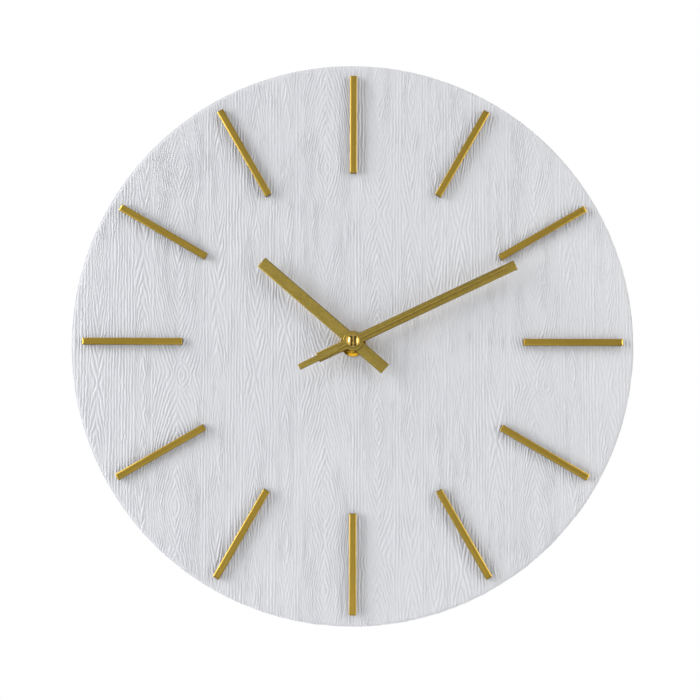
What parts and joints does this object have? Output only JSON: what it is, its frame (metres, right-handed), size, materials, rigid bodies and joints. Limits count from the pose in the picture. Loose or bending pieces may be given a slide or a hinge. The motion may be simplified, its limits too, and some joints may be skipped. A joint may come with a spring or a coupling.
{
  "type": "wall clock",
  "caption": "Round wall clock with an embossed wood-grain disc, applied gold hour bars, straight gold hands and a battery quartz movement with its gear train.",
  "frame": {"origin": "on the hands' axis at the flat back of the movement, where it lies against the wall", "axes": "+Z towards twelve o'clock, +X towards three o'clock, +Y into the wall; the dial faces -Y"},
  "size_m": [0.35, 0.0417, 0.35],
  "materials": {
    "grey_facing": "satin paint over embossed vertical wood grain",
    "fibreboard": "bare medium-density fibreboard",
    "gold_bar": "polished, gold anodised",
    "gold_hand": "satin, gold anodised",
    "gold_fitting": "polished, gold plated",
    "brass": "turned",
    "steel": "zinc plated",
    "black_plastic": "moulded, fine spark texture",
    "white_plastic": "moulded acetal",
    "amber_plastic": "moulded acetal, amber",
    "circuit_green": "solder mask on glass fibre",
    "black_resin": "potting resin",
    "copper_wire": "enamelled copper wire",
    "magnet": "sintered magnet",
    "rubber": "matt",
    "cell_wrap": "printed film on a steel can"
  },
  "bodies": {
    "housing": {"dial_facing": "grey_facing", "dial_board": "fibreboard", "hour_bar_01": "gold_bar", "hour_bar_02": "gold_bar", "hour_bar_03": "gold_bar", "hour_bar_04": "gold_bar", "hour_bar_05": "gold_bar", "hour_bar_06": "gold_bar", "hour_bar_07": "gold_bar", "hour_bar_08": "gold_bar", "hour_bar_09": "gold_bar", "hour_bar_10": "gold_bar", "hour_bar_11": "gold_bar", "hour_bar_12": "gold_bar", "front_washer": "gold_fitting", "mounting_nut": "gold_fitting", "threaded_bushing": "brass", "hanger_plate": "steel", "contact_negative": "steel", "contact_positive": "steel", "coil_core": "steel", "stator_plate": "steel", "quartz_crystal": "steel", "movement_front_case": "black_plastic", "movement_rear_cover": "black_plastic", "centre_plate": "white_plastic", "coil_bobbin": "white_plastic", "circuit_board": "circuit_green", "controller_chip": "black_resin", "coil_winding": "copper_wire", "rubber_washer": "rubber", "battery": "cell_wrap"},
    "seconds": {"seconds_wheel": "white_plastic", "seconds_shaft": "steel", "second_hand": "gold_hand", "second_hand_tube": "brass", "hand_cap": "gold_fitting"},
    "rotor": {"rotor_magnet": "magnet", "rotor_pinion": "white_plastic"},
    "intermediate": {"intermediate_wheel": "white_plastic"},
    "third": {"third_wheel": "amber_plastic"},
    "centre": {"centre_wheel": "white_plastic"},
    "minutes": {"cannon_pinion": "brass", "clutch_spring": "steel", "minute_hand": "gold_hand"},
    "motion": {"motion_wheel": "amber_plastic", "setting_knob": "white_plastic"},
    "hours": {"hour_wheel": "white_plastic", "hour_hand": "gold_hand"}
  },
  "joints": [
    {"name": "second_hand_spin", "type": "hinge", "parent": "housing", "child": "seconds", "pos_m": [0, -0.038, 0], "axis": [0, 1, 0], "continuous": true},
    {"name": "rotor_spin", "type": "hinge", "parent": "housing", "child": "rotor", "pos_m": [0.00737, -0.004, 0.01111], "axis": [0, 1, 0], "continuous": true},
    {"name": "intermediate_spin", "type": "hinge", "parent": "housing", "child": "intermediate", "pos_m": [0.00217, -0.005, 0.00811], "axis": [0, 1, 0], "continuous": true},
    {"name": "third_spin", "type": "hinge", "parent": "housing", "child": "third", "pos_m": [-0.00985, -0.0065, 0.00264], "axis": [0, 1, 0], "continuous": true},
    {"name": "centre_wheel_spin", "type": "hinge", "parent": "housing", "child": "centre", "pos_m": [0, -0.01, 0], "axis": [0, 1, 0], "continuous": true},
    {"name": "minute_hand_spin", "type": "hinge", "parent": "housing", "child": "minutes", "pos_m": [0, -0.036, 0], "axis": [0, 1, 0], "continuous": true},
    {"name": "setting_spin", "type": "hinge", "parent": "housing", "child": "motion", "pos_m": [0.0108, -0.0115, 0], "axis": [0, 1, 0], "continuous": true},
    {"name": "hour_hand_spin", "type": "hinge", "parent": "housing", "child": "hours", "pos_m": [0, -0.034, 0], "axis": [0, 1, 0], "continuous": true}
  ],
  "couplings": [
    {"joint": "intermediate_spin", "follows": "second_hand_spin", "ratio": -6},
    {"joint": "rotor_spin", "follows": "second_hand_spin", "ratio": 30},
    {"joint": "third_spin", "follows": "second_hand_spin", "ratio": -0.13333},
    {"joint": "centre_wheel_spin", "follows": "second_hand_spin", "ratio": 0.016667},
    {"joint": "setting_spin", "follows": "minute_hand_spin", "ratio": -0.33333},
    {"joint": "hour_hand_spin", "follows": "minute_hand_spin", "ratio": 0.083333}
  ]
}
